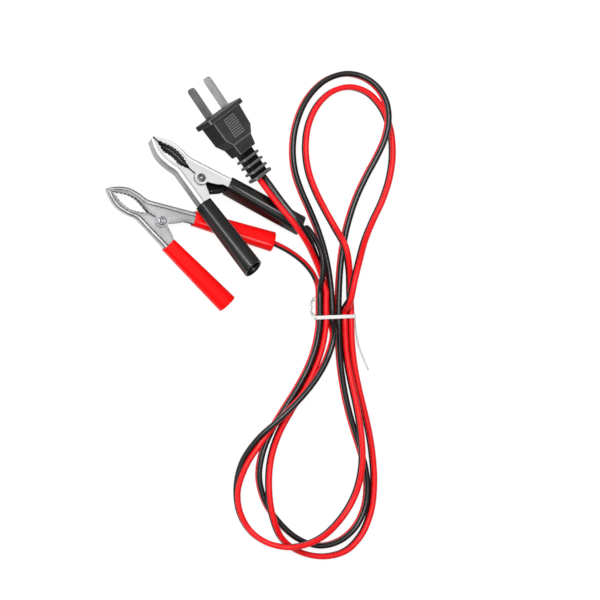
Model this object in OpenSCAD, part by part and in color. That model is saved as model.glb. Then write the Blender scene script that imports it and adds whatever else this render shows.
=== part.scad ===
// Charging lead for a car battery: a moulded two-pin plug, a red and black
// twin cord in a tied hank, and two sleeved crocodile clips.
// It lies on a table: +Z up, the table at z = 0.

/* [Cord] */
// Diameter of each insulated conductor
cord_d = 3.2; // [3:0.05:3.3]
// Distance between the centres of the two conductors of the twin cord
pair_pitch = 3.4; // [3.35:0.05:3.5]
// Distance between neighbouring passes where the hank is tied
pass_pitch = 3.7; // [3.7:0.05:3.9]
// Height of a pass's middle where it lies on the table
pass_height = 3.4; // [3.35:0.05:3.6]
// Height of a pass's middle inside the tie
tied_height = 4.3; // [4.2:0.05:4.5]

/* [Tie] */
// Width of the flat tie band
tie_w = 2.2; // [1.6:0.1:4]
// Thickness of the tie band
tie_t = 0.6; // [0.4:0.1:0.8]
// Clearance between the band and the cords in it
tie_gap = 0.15; // [0.05:0.05:0.3]

/* [Plug] */
// Width of the plug's flange
flange_w = 26.5; // [25:0.5:30]
// Height of the plug's flange
flange_h = 16; // [15:0.5:18]
// Thickness of the plug's flange
flange_t = 3; // [2:0.5:4]
// Width of the grip behind the flange
grip_w = 21.8; // [20:0.2:24]
// Height of the grip behind the flange
grip_h = 13.4; // [12:0.2:15]
// Length of the grip's straight part
grip_l = 12.2; // [12:0.2:16]
// Length of the shoulder that narrows to the neck
shoulder_l = 4.2; // [3:0.2:6]
// Length of the neck
neck_l = 6.5; // [5:0.5:8]
// Number of ribs on the strain relief
rib_count = 4; // [3:1:6]
// Distance from one rib to the next
rib_pitch = 4.1; // [3.5:0.1:5]
// Thickness of a rib
rib_t = 1.5; // [1:0.1:2]
// Width of a rib
rib_w = 12.4; // [11:0.2:14]
// Height of a rib
rib_h = 9; // [8:0.2:10]
// Distance between the middles of the two flat pins
pin_spacing = 12.7; // [12.7:0.1:12.7]
// Length of a flat pin outside the plug
pin_l = 19.5; // [18:0.5:20]
// Width of a flat pin
pin_w = 6.3; // [6:0.1:6.5]
// Thickness of a flat pin
pin_t = 1.5; // [1.4:0.05:1.6]

/* [Clips] */
// Thickness of the stamped steel
steel_t = 0.8; // [0.6:0.05:0.9]
// Width of the fixed half across its two side plates
clip_w = 9; // [8.8:0.1:10]
// Side clearance between the fixed and the moving half
half_gap = 0.3; // [0.2:0.05:0.35]
// Distance from the rivet to the tips of the jaws
nose_l = 34.8; // [33:0.2:37]
// Height of a jaw above the line where the jaws meet
jaw_h = 6.8; // [6.4:0.1:7.4]
// Half height of the lens-shaped opening between the jaws
lens_h = 3.5; // [3.4:0.1:3.7]
// Clearance of each closed jaw to the line where they meet
bite_gap = 0.15; // [0.1:0.05:0.3]
// Angle between a handle and the line of the jaws
handle_angle = 16; // [14:0.5:18]
// Distance from the rivet to the outer edge of a handle
handle_reach = 9.3; // [9:0.1:9.8]
// Width of a handle, from its outer edge inward
handle_w = 6.5; // [6:0.1:7]
// Length of a steel handle, measured from the rivet
handle_l = 45; // [40:1:50]
// Radius of the ear round the rivet
ear_r = 3.9; // [3.6:0.1:4.2]
// Diameter of the tubular rivet's shank
rivet_d = 3; // [2.6:0.1:3.2]
// Diameter of the rivet's rolled head
rivet_head_d = 4.8; // [4.4:0.1:5.4]
// Diameter of the rivet's bore
rivet_bore_d = 1.8; // [1.2:0.1:2]
// Running clearance between the rivet and its holes, on the radius
rivet_gap = 0.1; // [0.05:0.05:0.2]
// Diameter of the spring's wire
spring_wire_d = 1.1; // [0.9:0.05:1.2]
// Radius of the spring's coil to the middle of the wire
spring_r = 2.9; // [2.7:0.1:3.1]
// Number of turns of the spring
spring_turns = 2.5; // [1.5:1:2.5]

/* [Sleeves] */
// Wall thickness of the soft sleeve
sleeve_t = 0.8; // [0.6:0.1:1]
// Clearance between a sleeve and the steel handle in it
sleeve_gap = 0.15; // [0.1:0.05:0.3]
// Outside width of a sleeve's open end
sleeve_end_w = 11.2; // [10.8:0.1:12]
// Distance from the rivet to the sleeve on the red clip's fixed half
red_fixed_sleeve_start = 17.6; // [17:0.2:20]
// Distance from the rivet to the sleeve on the black clip's fixed half, pushed on further
black_fixed_sleeve_start = 16; // [16:0.2:18]
// Distance from the rivet to the sleeve on a moving half
moving_sleeve_start = 12.2; // [12:0.2:16]
// Length of a sleeve
sleeve_l = 47; // [44:1:52]

/* [Hidden] */

RED = [0.95, 0.1, 0.12];
BLACK = [0.13, 0.13, 0.14];
GREY = [0.2, 0.2, 0.21];
STEEL = [0.76, 0.77, 0.79];
NICKEL = [0.9, 0.9, 0.91];
COPPER = [0.8, 0.48, 0.3];
WHITE = [0.95, 0.95, 0.93];

cord_r = cord_d / 2;
// The middle between the furthest edges of the plug and the clips, left out of the cord
centre = [-54.493, 58.680];

// Places on the table: the plug's front face, and the rivet of each clip
plug_at = [-49.0, 103.5, 12.3];
plug_turn = -55;
plug_roll = -20;
red_clip_at = [-79.7, 43.6];
red_clip_turn = -30;
black_clip_at = [-59.7, 64.8];
black_clip_turn = -42.2;
// The black clip lies over the red one, so it leans on the line from its tip
// to the far end of its fixed handle, and its handles are raised a little
black_clip_lean = 24;
black_clip_rise = 3.6;
black_lean_line = 12.7;
black_clip_height = 5.9;

// ---- sweeps ------------------------------------------------------------

function unit(v) = v / norm(v);
function blend(a, b, t) = a + (b - a) * t;
function direction(p, i) = unit(p[min(i + 1, len(p) - 1)] - p[max(i - 1, 0)]);
// The level direction to the right of a heading, and the direction above it
function right_of(t) = unit([t.y, -t.x, 0]);
function above(t) = cross(right_of(t), t);

// A tube of n sides round the points, with flat ends square to its first and last step
module sweep(points, r, n, flat = 1) {
    last = len(points) - 1;
    corners = [for (i = [0:last])
        let(t = direction(points, i), a = right_of(t), b = above(t))
        for (k = [0:n - 1])
            let(w = 360 * (k + 0.5) / n)
            points[i] + r * (cos(w) * a + flat * sin(w) * b)];
    walls = [for (i = [0:last - 1]) for (k = [0:n - 1])
        let(a = i * n + k, b = i * n + (k + 1) % n)
        each [[a, b, a + n], [b, b + n, a + n]]];
    start = [for (k = [1:n - 2]) [0, k + 1, k]];
    end = [for (k = [1:n - 2]) [last * n, last * n + k, last * n + k + 1]];
    polyhedron(corners, concat(walls, start, end));
}

// Points on a smooth curve through hand-set ones, steps to each stretch
function tangent(p, i) = i == 0 ? p[1] - p[0] : i == len(p) - 1 ? p[i] - p[i - 1] : (p[i + 1] - p[i - 1]) / 2;
function stretch_point(a, b, ta, tb, t) =
    (2 * t * t * t - 3 * t * t + 1) * a + (t * t * t - 2 * t * t + t) * ta
    + (3 * t * t - 2 * t * t * t) * b + (t * t * t - t * t) * tb;
function smooth(p, steps) = concat(
    [for (i = [0:len(p) - 2]) for (k = [0:steps - 1])
        stretch_point(p[i], p[i + 1], tangent(p, i), tangent(p, i + 1), k / steps)],
    [p[len(p) - 1]]);

// ---- the cord's route --------------------------------------------------

tie_at = [20.5, -9.5];
slot_count = 6;
// Place across the tie of each numbered pass, from the left
function slot(i) = tie_at.x + (i - (slot_count + 1) / 2) * pass_pitch;

// Each loop of the hank: the pass it leaves the tie by and the one it comes back by, its
// furthest points on the way out, at its end and on the way back, how straight the two legs
// run at the tie and at the far point, how square its two bends are, and where it climbs over
// other passes as [place along the loop from 0 to 4, height, half length]
LOOPS = [
    [2, 6, [-19.5, -103], [16.5, -144], [43.5, -104], [0.45, 0.40], [0.45, 0.41],
        [0.66, 0.58], [[1.14, 7.9, 0.55]]],
    [6, 5, [3.5, 86], [29.5, 120], [54.5, 85], [0.60, 0.35], [0.46, 0.40],
        [0.56, 0.56], [[0.28, 9.0, 0.205], [3.81, 12.5, 0.35]]],
    [5, 3, [34.5, -92], [-9, -137.5], [-36, -108], [0.44, 0.40], [0.48, 0.40],
        [0.56, 0.56], [[0.85, 7.6, 0.75], [1.92, 9.1, 0.64], [3.66, 9.2, 0.72]]],
    [3, 4, [-4, 83], [29, 127.5], [49.8, 103], [0.60, 0.30], [0.70, 0.25],
        [0.56, 0.56], [[2.95, 7.5, 0.87]]],
    [4, 1, [39.5, -106], [12, -138], [-23.4, -99], [0.60, 0.25], [0.45, 0.38],
        [0.58, 0.43], []]];
// The pair turns over on the way back along this loop, starting there, over this length
turning_loop = 2;
turn_start = 2.95;
turn_l = 0.6;
// Rings along each leg and each bend of a loop, and how they crowd towards the tie
leg_rings = 8;
bend_rings = 4;
crowding = 1.25;
// Height falls from the tie to the table over this distance
tie_fall = 30;
// Half the length of the level stretch of a pass inside the tie
level_l = 3;

function cubic(p, t) =
    pow(1 - t, 3) * p[0] + 3 * pow(1 - t, 2) * t * p[1]
    + 3 * (1 - t) * t * t * p[2] + pow(t, 3) * p[3];
// The four cubic curves of a loop: leg out, two bends, leg back
function loop_curves(loop) =
    let(a = [slot(loop[0]), tie_at.y], b = [slot(loop[1]), tie_at.y],
        out = loop[2], end = loop[3], back = loop[4],
        rise_out = out.y - a.y, rise_back = back.y - b.y)
    [[a, a + [0, loop[5][0] * rise_out], out - [0, loop[5][1] * rise_out], out],
     [out, out + [0, loop[7][0] * (end.y - out.y)], end + [loop[7][0] * (out.x - end.x), 0], end],
     [end, end + [loop[7][1] * (back.x - end.x), 0], back + [0, loop[7][1] * (end.y - back.y)], back],
     [back, back - [0, loop[6][1] * rise_back], b + [0, loop[6][0] * rise_back], b]];
function bump(t) = abs(t) < 1 ? pow(1 - t * t, 2) : 0;
function climb(lifts, u, i = 0) =
    i == len(lifts) ? 0 : lifts[i][1] * bump((u - lifts[i][0]) / lifts[i][2]) + climb(lifts, u, i + 1);
function height_at(y) =
    pass_height + (tied_height - pass_height) * max(0, 1 - abs(y - tie_at.y) / tie_fall);
// How far the pair has turned over: 0 with red on top, 180 with black on top
function turned(loop, u) =
    loop < turning_loop ? 0 : loop > turning_loop ? 180
    : let(t = min(1, max(0, (u - turn_start) / turn_l))) 90 * (1 - cos(180 * t));
// Where along a curve its rings lie
function ring_place(curve, i, n) =
    curve == 0 ? pow(i / n, crowding) : curve == 3 ? 1 - pow(1 - i / n, crowding) : i / n;

// The two rings of a level pass through the tie, heading up (1) or down (-1)
function through_tie(i, way, turn) =
    [for (k = [-1, 1]) [slot(i), tie_at.y + k * way * level_l, tied_height, turn]];

// Middle of the pair as [x, y, z, turn], all the way along the hank
HANK = concat(
    [for (loop = [0:len(LOOPS) - 1], curve = [0:3])
        let(n = curve == 0 || curve == 3 ? leg_rings : bend_rings,
            curves = loop_curves(LOOPS[loop]),
            tied = through_tie(LOOPS[loop][0], sign(LOOPS[loop][2].y - tie_at.y), turned(loop, 0)))
        each concat(curve == 0 ? tied : [], [for (i = [(curve == 0 ? 1 : 0):n - 1])
            let(t = ring_place(curve, i, n), p = cubic(curves[curve], t))
            [p.x, p.y, height_at(p.y) + climb(LOOPS[loop][8], curve + t), turned(loop, curve + t)]])],
    through_tie(LOOPS[len(LOOPS) - 1][1], 1, 180));

function place(p) = [p.x, p.y, p.z];
// One conductor of the pair: side is 1 for red and -1 for black. Where the pair lies
// on its side it opens a little, so that it can turn over
turn_room = 0.1;
function beside(pair, side) =
    let(route = [for (p = pair) place(p)])
    [for (i = [0:len(pair) - 1])
        let(t = direction(route, i), w = pair[i][3])
        route[i] + side * pair_pitch / 2 * (1 + turn_room * pow(sin(w), 2))
            * (cos(w) * above(t) + sin(w) * right_of(t))];

// Above the tie the hank's two ends run straight for this length
end_l = 8;
function hank(side) =
    let(turns = beside(HANK, side), last = turns[len(turns) - 1])
    concat([turns[0] + [0, end_l, 0], turns[0] + [0, end_l / 2, 0]], turns,
           [last + [0, end_l / 2, 0], last + [0, end_l, 0]]);

// Least distance between the surfaces of the hank's passes, on points along its rings' chords
gap_steps = 5;
function chords(p) = [for (i = [0:len(p) - 2]) for (k = [0:gap_steps - 1]) blend(p[i], p[i + 1], k / gap_steps)];
near_points = 3 * gap_steps;
function least_gap(a, b, skip) =
    min([for (i = [0:len(a) - 1]) for (j = [0:len(b) - 1]) if (abs(i - j) > skip) norm(a[i] - b[j])]) - cord_d;

// ---- the plug ----------------------------------------------------------

// The plug's own frame: +X from its front face to the cord, +Y across the two pins
module at_plug() {
    translate(plug_at) rotate([0, 0, plug_turn]) rotate([plug_roll, 0, 0]) children();
}
module rounded_plate(w, h, t, r) {
    rotate([90, 0, 90]) linear_extrude(t) union() {
        square([w - 2 * r, h], center = true);
        square([w, h - 2 * r], center = true);
        for (x = [-1, 1], y = [-1, 1])
            translate([x * (w / 2 - r), y * (h / 2 - r)]) circle(r, $fn = 24);
    }
}
module section(x, w, h, r) {
    translate([x, 0, 0]) rounded_plate(w, h, 0.02, r);
}

grip_end = flange_t + grip_l;
shoulder_end = grip_end + shoulder_l;
neck_end = shoulder_end + neck_l;
neck_w = 14.3;
neck_h = 11.2;
relief_l = rib_count * rib_pitch + 0.6;
relief_end = neck_end + relief_l;
relief_w = 9.2;
relief_h = 6.4;
holder_l = 8;
holder_w = 19.4;
holder_h = 9;
barrel_l = 5;
barrel_d = 4;
barrel_bore_d = 2.2;
core_d = 2;
socket_l = 6;
socket_gap = 0.1;

module plug_body() {
    color(GREY) at_plug() difference() {
        union() {
            rounded_plate(flange_w, flange_h, flange_t, 1.2);
            hull() {
                section(flange_t - 0.02, grip_w, grip_h, 0.8);
                section(grip_end, grip_w - 1.6, grip_h - 0.3, 0.8);
            }
            hull() {
                section(grip_end, grip_w - 1.6, grip_h - 0.3, 0.8);
                section(shoulder_end, neck_w, neck_h, 0.8);
            }
            hull() {
                section(shoulder_end, neck_w, neck_h, 0.8);
                section(neck_end, neck_w - 1.8, neck_h - 1.2, 0.8);
            }
            translate([neck_end, 0, 0]) rounded_plate(relief_w, relief_h, relief_l, 0.8);
            for (i = [1:rib_count])
                translate([neck_end + i * rib_pitch - rib_t + 0.6, 0, 0])
                    rounded_plate(rib_w, rib_h, rib_t, 1.2);
        }
        // the seat of the pin holder, and the room of the pins' crimp barrels behind it
        translate([-1, -holder_w / 2, -holder_h / 2]) cube([holder_l + 1, holder_w, holder_h]);
        for (side = [-1, 1])
            translate([holder_l - 0.1, side * pin_spacing / 2, 0])
                rotate([0, 90, 0]) cylinder(d = barrel_d + 0.4, h = barrel_l + 2, $fn = 32);
        // the socket of the twin cord
        translate([relief_end - socket_l, 0, 0]) {
            for (side = [-1, 1])
                translate([0, side * pair_pitch / 2, 0])
                    rotate([0, 90, 0]) cylinder(r = cord_r + socket_gap, h = socket_l + 1, $fn = 32);
            translate([0, -pair_pitch / 2, -cord_r / 2]) cube([socket_l + 1, pair_pitch, cord_r]);
        }
    }
}

module plug_pin_holder() {
    color(BLACK) at_plug() difference() {
        translate([0, -holder_w / 2, -holder_h / 2]) cube([holder_l, holder_w, holder_h]);
        for (side = [-1, 1])
            translate([-1, side * pin_spacing / 2 - pin_t / 2, -pin_w / 2])
                cube([holder_l + 2, pin_t, pin_w]);
    }
}

// A flat pin with a rounded tip, and a barrel behind the holder that grips the wire
module pin(side) {
    tip_r = 2.4;
    at_plug() translate([0, side * pin_spacing / 2, 0]) {
        translate([-pin_l, pin_t / 2, 0]) rotate([90, 0, 0]) linear_extrude(pin_t) union() {
            translate([tip_r, -pin_w / 2]) square([pin_l + holder_l - tip_r, pin_w]);
            translate([0, tip_r - pin_w / 2]) square([tip_r + 1, pin_w - 2 * tip_r]);
            for (y = [-1, 1])
                translate([tip_r, y * (pin_w / 2 - tip_r)]) circle(tip_r, $fn = 32);
        }
        translate([holder_l, 0, 0]) rotate([0, 90, 0]) difference() {
            cylinder(d = barrel_d, h = barrel_l, $fn = 32);
            translate([0, 0, 0.5]) cylinder(d = barrel_bore_d, h = barrel_l, $fn = 32);
        }
    }
}
module plug_pin_left() {
    color(NICKEL) pin(-1);
}
module plug_pin_right() {
    color(NICKEL) pin(1);
}
// The stripped copper ends of the conductors, held in the barrels
module plug_wire_ends() {
    color(COPPER) at_plug() for (side = [-1, 1])
        translate([holder_l + 0.6, side * pin_spacing / 2, 0])
            rotate([0, 90, 0]) cylinder(d = core_d, h = barrel_l + 0.6, $fn = 24);
}

// ---- the free stretches of cord ------------------------------------------

// A place in the plug's frame, on the table
function from_plug(p) =
    let(y = p.y * cos(plug_roll) - p.z * sin(plug_roll), z = p.y * sin(plug_roll) + p.z * cos(plug_roll))
    plug_at + [p.x * cos(plug_turn) - y * sin(plug_turn), p.x * sin(plug_turn) + y * cos(plug_turn), z];

// The twin cord from the plug, as [x, y, z, turn], over the black clip and down to the tie
PLUG_ROUTE = [
    [-21.3, 63.4, 14.6, 68], [-14.8, 53.6, 18.4, 62], [-7.2, 43.6, 21.4, 55],
    [0.4, 34.0, 18.0, 50], [7.0, 25.6, 9.4, 40], [12.0, 16.0, 4.4, 22], [14.6, 6.5, 4.3, 6]];
function plug_lead(side) =
    let(start = from_plug([relief_end, -side * pair_pitch / 2, 0]),
        inside = from_plug([relief_end - socket_l, -side * pair_pitch / 2, 0]),
        finish = hank(side)[0])
    concat([inside], smooth(concat([start], beside(PLUG_ROUTE, side), [finish + [0, cord_d, 0]]), 2), [finish]);

crimp_back = 13;
crimp_l = 5;
crimp_t = 0.5;
crimp_gap = 0.15;
// Where each conductor lies inside its clip, as [distance from the rivet, place beside the
// handle's line]: from the sleeve's open end to its near end, and on to the tip of the wire,
// which stays in the red clip's handle and shows beside the black clip's rivet
clip_wire_side = handle_reach - steel_t - crimp_t - crimp_gap - cord_r - 0.1;
function clip_wire(start) = [[66, 3.9], [54, 4.9], [42, clip_wire_side], [30, clip_wire_side],
    [start + 7, clip_wire_side - 0.1]];
RED_WIRE = concat(clip_wire(red_fixed_sleeve_start), [[red_fixed_sleeve_start, 5.2], [12.4, 4.6]]);
BLACK_WIRE = concat(clip_wire(black_fixed_sleeve_start),
    [[black_fixed_sleeve_start, 5.65], [13.46, 1.24], [7.91, -2.89]]);
// The single conductors from the tie to the open ends of the sleeves
BLACK_ROUTE = [[11.3, 9.0, 8.1], [11.9, 14.5, 9.9], [11.8, 20.5, 10.5], [10.4, 27.7, 10.5],
    [6.9, 34.3, 10.9], [1.4, 40.0, 11.6]];
RED_ROUTE = [[10.7, 9.0, 2.6], [8.2, 14.5, 3.0], [3.6, 20.0, 3.8], [-3.6, 25.6, 4.8]];

// ---- the clips -----------------------------------------------------------

moving_w = clip_w - 2 * steel_t - 2 * half_gap;
sleeve_room = sleeve_gap + sleeve_t;
red_clip_height = clip_w / 2 + sleeve_room + 0.05;

// A point beside a handle: h from the rivet along it, s from the handle's own line
function handle_point(h, s) =
    [h * cos(handle_angle) - s * sin(handle_angle), h * sin(handle_angle) + s * cos(handle_angle)];

// The black clip's lean: turning about the line through its tip
function leaned(p) =
    let(u = [cos(black_lean_line), sin(black_lean_line), 0], v = p + [nose_l, 0, 0], a = -black_clip_lean,
        q = v * cos(a) + cross(u, v) * sin(a) + u * (u * v) * (1 - cos(a)))
    [q.x * cos(black_clip_rise) - q.z * sin(black_clip_rise) - nose_l, q.y,
     q.x * sin(black_clip_rise) + q.z * cos(black_clip_rise)];
function turned_to(p, at, turn) =
    [at.x + p.x * cos(turn) - p.y * sin(turn), at.y + p.x * sin(turn) + p.y * cos(turn), p.z];
function from_black(p) = turned_to(leaned(p), black_clip_at, black_clip_turn) + [0, 0, black_clip_height];
function from_red(p) = turned_to(p, red_clip_at, red_clip_turn) + [0, 0, red_clip_height];

// The clips' own frame: the rivet's axis is Z, +X runs to the handles, the fixed half is on +Y
module at_red() {
    translate([red_clip_at.x, red_clip_at.y, red_clip_height]) rotate([0, 0, red_clip_turn]) children();
}
module at_black() {
    translate([black_clip_at.x, black_clip_at.y, black_clip_height]) rotate([0, 0, black_clip_turn])
        translate([-nose_l, 0, 0]) rotate([0, -black_clip_rise, 0]) rotate([0, 0, black_lean_line]) rotate([-black_clip_lean, 0, 0])
            rotate([0, 0, -black_lean_line]) translate([nose_l, 0, 0]) children();
}

shoulder_x = -13;
shoulder_h = handle_point(0, handle_reach).y
    + (shoulder_x - handle_point(0, handle_reach).x) * tan(handle_angle);
// Outer edge of a half, from the tip of its jaw to the end of its handle, moved inward by d
function outer_edge(d) = [
    [-nose_l + d, bite_gap],
    [-nose_l + d, 0.9 - d / 2],
    [-nose_l + 5.4 + d * 0.3, jaw_h - 2 - d],
    [-nose_l + 10.6 + d * 0.15, jaw_h - d],
    [shoulder_x - 4.4, jaw_h - d],
    [shoulder_x, shoulder_h - d],
    handle_point(handle_l + d, handle_reach - d)];

lens_start = -8.5;
lens_end = -nose_l + 3.4;
tooth_count = 11;
tooth_h = 0.5;
// The toothed lower edge of a jaw: an arch from the rivet to the tip, with a tooth at each step
function arch(t) = [blend(lens_start, lens_end, t), bite_gap + lens_h * sin(180 * t)];
JAW_EDGE = [for (i = [0:2 * tooth_count])
    arch(i / (2 * tooth_count)) - [0, i % 2 == 1 && i > 1 && i < 2 * tooth_count - 1 ? tooth_h : 0]];

EAR = [for (w = [10:-10:-180]) ear_r * [cos(w), sin(w)]];
// One side of a half: jaw, ear and handle
module half_outline() {
    polygon(concat(outer_edge(0),
        [handle_point(handle_l, handle_reach - handle_w),
         handle_point(moving_sleeve_start - 0.5, handle_reach - handle_w), [9, 3.8]],
        EAR, [[-ear_r - 1, bite_gap]], JAW_EDGE));
}
// A half is one folded sheet: two side plates joined along their outer edge
module clip_half(w) {
    difference() {
        linear_extrude(w, center = true) half_outline();
        linear_extrude(w - 2 * steel_t, center = true)
            polygon(concat(outer_edge(steel_t), [[handle_l, -ear_r - 1], [-nose_l + steel_t, -ear_r - 1]]));
        cylinder(d = rivet_d + 2 * rivet_gap, h = w + 2, center = true, $fn = 32);
    }
}
module fixed_half() {
    color(STEEL) clip_half(clip_w);
}
module moving_half() {
    color(STEEL) mirror([0, 1, 0]) clip_half(moving_w);
}

rivet_head_t = 0.6;
// A tubular rivet with both ends rolled over
module rivet() {
    span = clip_w + 0.1;
    color(NICKEL) difference() {
        union() {
            cylinder(d = rivet_d, h = span + 2 * rivet_head_t, center = true, $fn = 32);
            for (side = [0, 1]) mirror([0, 0, side]) translate([0, 0, span / 2])
                rotate_extrude($fn = 32) union() {
                    square([rivet_head_d / 2 - rivet_head_t / 2, rivet_head_t]);
                    translate([rivet_head_d / 2 - rivet_head_t / 2, rivet_head_t / 2])
                        circle(rivet_head_t / 2, $fn = 16);
                }
        }
        cylinder(d = rivet_bore_d, h = clip_w + 4, center = true, $fn = 24);
    }
}

// The torsion spring: a coil on the rivet with a leg under the spine of each handle
spring_rings = 8;
spring_rise = 0.3;
spring_leg = 17;
spring_leg_side = handle_reach - steel_t - spring_wire_d / 2 - 0.15;
module spring() {
    turns = spring_turns * spring_rings;
    span = spring_turns * (spring_wire_d + spring_rise);
    leg = handle_point(spring_leg, spring_leg_side);
    start = 90;
    coil = [for (i = [0:turns])
        let(w = start - 360 * i / spring_rings)
        [spring_r * cos(w), spring_r * sin(w), span / 2 - span * i / turns]];
    color(STEEL) sweep(concat([[leg.x, leg.y, span / 2], [leg.x / 2, (leg.y + spring_r) / 2 + 0.2, span / 2]],
        coil, [[leg.x / 2, -(leg.y + spring_r) / 2 - 0.2, -span / 2], [leg.x, -leg.y, -span / 2]]),
        spring_wire_d / 2, 6);
}

// A slice across a sleeve at h along the handle
slice_t = 0.05;
module sleeve_slice(h, middle, w, depth, r) {
    rotate([0, 0, handle_angle]) translate([h, middle, 0]) rounded_plate(w, depth, slice_t, r);
}
// The sleeve's form, a wall thicker than its bore: flat-sided on the steel, then drawn into a
// round open end, and longer by over at both ends
sleeve_corner = 0.4;
module sleeve_form(start, half_w, wall, over) {
    near = [handle_w + 2 * sleeve_gap, half_w + 2 * sleeve_gap] + [2, 2] * wall;
    far = (sleeve_end_w - 2 * sleeve_t) * [1, 1] - [0, 0.2] + [2, 2] * wall;
    near_middle = handle_reach - handle_w / 2;
    far_middle = handle_reach + sleeve_room - sleeve_end_w / 2;
    steel_end = handle_l + 1;
    share = (steel_end - start) / sleeve_l;
    steel = blend(near, far, share);
    steel_middle = blend(near_middle, far_middle, share);
    hull() {
        sleeve_slice(start - over, near_middle, near.x, near.y, sleeve_corner + wall);
        sleeve_slice(steel_end, steel_middle, steel.x, steel.y, sleeve_corner + wall);
    }
    hull() {
        sleeve_slice(steel_end, steel_middle, steel.x, steel.y, sleeve_corner + wall);
        sleeve_slice(start + sleeve_l + over, far_middle, far.x, far.y, far.y / 2 - 0.3);
    }
}
// A soft tube pushed over a handle
module sleeve(start, half_w) {
    difference() {
        sleeve_form(start, half_w, sleeve_t, 0);
        sleeve_form(start, half_w, 0, slice_t);
    }
}
module fixed_sleeve(paint, start) {
    color(paint) sleeve(start, clip_w);
}
module moving_sleeve(paint) {
    color(paint) mirror([0, 1, 0]) sleeve(moving_sleeve_start, moving_w);
}

// A ring of thin steel pressed round the wire inside the fixed handle
module wire_crimp() {
    color(STEEL) rotate([0, 0, handle_angle]) translate([handle_l - crimp_back, clip_wire_side, 0])
        rotate([0, 90, 0]) difference() {
            cylinder(r = cord_r + crimp_gap + crimp_t, h = crimp_l, $fn = 32);
            translate([0, 0, -1]) cylinder(r = cord_r + crimp_gap, h = crimp_l + 2, $fn = 32);
        }
}
// The bare strands at the tip of the wire
bare_l = 2;
function clip_route(wire) = [for (p = wire) let(q = handle_point(p.x, p.y)) [q.x, q.y, 0]];
wire_end_gap = 0.05;
module wire_end(wire) {
    route = clip_route(wire);
    tip = route[len(route) - 1];
    along = unit(tip - route[len(route) - 2]);
    color(COPPER) translate(tip + wire_end_gap * along) rotate([0, 0, atan2(along.y, along.x)]) rotate([0, 90, 0])
        cylinder(d = core_d, h = bare_l, $fn = 24);
}

// ---- the tie -------------------------------------------------------------

// A flat paper tie: a band round all the passes, twisted at the left, with its ends left long
module twist_tie() {
    bundle_w = (slot_count - 1) * pass_pitch + cord_d + 2 * tie_gap;
    bundle_h = pair_pitch + cord_d + 2 * tie_gap;
    left = tie_at.x - bundle_w / 2 - tie_t;
    right = tie_at.x + bundle_w / 2 + tie_t;
    color(WHITE) union() {
        translate([tie_at.x, tie_at.y + tie_w / 2, tied_height]) rotate([90, 0, 0]) linear_extrude(tie_w)
            difference() {
                square([bundle_w + 2 * tie_t, bundle_h + 2 * tie_t], center = true);
                square([bundle_w, bundle_h], center = true);
            }
        sweep(smooth([[left + 0.45, tie_at.y, 5.6], [left - 0.9, tie_at.y + 0.2, 6.0], [left - 2.6, tie_at.y + 2.2, 6.6],
            [left - 3.4, tie_at.y + 5.6, 6.9], [left - 1.8, tie_at.y + 9.6, 6.2],
            [left - 0.4, tie_at.y + 10.8, 5.4]], 3), tie_w / 2, 8, 0.5);
        sweep(smooth([[right + 0.1, tie_at.y + 0.3, 3.4], [right + 1.0, tie_at.y - 7, 3.0],
            [right + 2.6, tie_at.y - 15, 2.2], [right + 5.4, tie_at.y - 22, 1.2],
            [right + 9.0, tie_at.y - 30, 0.8]], 3), tie_t, 8);
    }
}

// ---- the nodes -----------------------------------------------------------

module red_plug_lead() {
    color(RED) sweep(plug_lead(1), cord_r, 8);
}
module black_plug_lead() {
    color(BLACK) sweep(plug_lead(-1), cord_r, 8);
}
module red_hank() {
    points = chords(hank(1));
    echo(least_gap_of_the_red_hank = least_gap(points, points, near_points));
    color(RED) sweep(hank(1), cord_r, 6);
}
module black_hank() {
    points = chords(hank(-1));
    echo(least_gap_of_the_black_hank = least_gap(points, points, near_points));
    echo(least_gap_between_the_hanks = least_gap(points, chords(hank(1)), near_points));
    color(BLACK) sweep(hank(-1), cord_r, 6);
}
module red_clip_lead() {
    ends = hank(1);
    last = ends[len(ends) - 1];
    inside = [for (p = clip_route(RED_WIRE)) from_red(p)];
    color(RED) sweep(concat([last], smooth(concat([last + [0, cord_d, 0]], RED_ROUTE, inside), 2)), cord_r, 8);
}
module black_clip_lead() {
    ends = hank(-1);
    last = ends[len(ends) - 1];
    inside = [for (p = clip_route(BLACK_WIRE)) from_black(p)];
    color(BLACK) sweep(concat([last], smooth(concat([last + [0, cord_d, 0]], BLACK_ROUTE, inside), 2)), cord_r, 8);
}

module red_clip_fixed_half() {
    at_red() fixed_half();
}
module red_clip_moving_half() {
    at_red() moving_half();
}
module red_clip_rivet() {
    at_red() rivet();
}
module red_clip_spring() {
    at_red() spring();
}
module red_clip_fixed_sleeve() {
    at_red() fixed_sleeve(RED, red_fixed_sleeve_start);
}
module red_clip_moving_sleeve() {
    at_red() moving_sleeve(RED);
}
module red_clip_wire_crimp() {
    at_red() wire_crimp();
}
module red_clip_wire_end() {
    at_red() wire_end(RED_WIRE);
}
module black_clip_fixed_half() {
    at_black() fixed_half();
}
module black_clip_moving_half() {
    at_black() moving_half();
}
module black_clip_rivet() {
    at_black() rivet();
}
module black_clip_spring() {
    at_black() spring();
}
module black_clip_fixed_sleeve() {
    at_black() fixed_sleeve(BLACK, black_fixed_sleeve_start);
}
module black_clip_moving_sleeve() {
    at_black() moving_sleeve(BLACK);
}
module black_clip_wire_crimp() {
    at_black() wire_crimp();
}
module black_clip_wire_end() {
    at_black() wire_end(BLACK_WIRE);
}

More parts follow.
